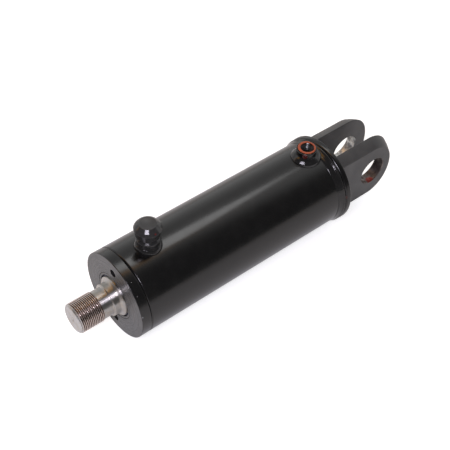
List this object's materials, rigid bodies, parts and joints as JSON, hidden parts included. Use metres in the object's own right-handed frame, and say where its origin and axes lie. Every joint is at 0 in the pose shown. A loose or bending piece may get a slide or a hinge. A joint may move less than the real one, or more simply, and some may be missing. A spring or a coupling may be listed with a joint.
{
  "type": "hydraulic cylinder",
  "caption": "Welded double-acting hydraulic cylinder with a black barrel, clevis base, screwed gland, side ports and a stepped polished rod with a threaded end.",
  "frame": {"origin": "centre of the clevis pin bore", "axes": "+X along the cylinder towards the rod end, +Y along the clevis pin, +Z towards the ports"},
  "size_m": [0.4327, 0.1056, 0.1342],
  "materials": {
    "paint": "semi-gloss black paint",
    "weld": "gloss black paint over a weld bead",
    "plug": "satin black",
    "chromed_steel": "polished, bare ground steel on the thread",
    "iron": "turned",
    "zinc_steel": "zinc plated",
    "rubber": "matte",
    "polyurethane": "satin",
    "bearing": "matte",
    "orange_seal": "satin"
  },
  "bodies": {
    "barrel": {"barrel_tube": "paint", "base_cap_clevis": "paint", "base_weld": "weld", "rod_port_boss": "paint", "rod_port_weld": "weld", "rod_port_plug": "plug", "rod_port_plug_seal": "rubber", "base_port_boss": "paint", "base_port_weld": "weld", "base_port_seal": "orange_seal", "gland_head": "paint", "wiper_case": "paint", "wiper_lip": "polyurethane", "rod_seal": "polyurethane", "rod_guide_band_front": "bearing", "rod_guide_band_rear": "bearing", "gland_o_ring": "rubber", "gland_backup_ring": "bearing"},
    "piston_rings": {"piston_seal": "polyurethane", "piston_wear_ring_rear": "bearing", "piston_wear_ring_front": "bearing"},
    "rod": {"piston_rod": "chromed_steel", "piston": "iron", "piston_static_o_ring": "rubber", "piston_nut": "zinc_steel"}
  },
  "joints": [
    {"name": "rod_slide", "type": "slide", "parent": "barrel", "child": "piston_rings", "axis": [1, 0, 0], "range_m": [0, 0.15]},
    {"name": "rod_spin", "type": "hinge", "parent": "piston_rings", "child": "rod", "pos_m": [0.2, 0, 0], "axis": [1, 0, 0], "continuous": true}
  ]
}
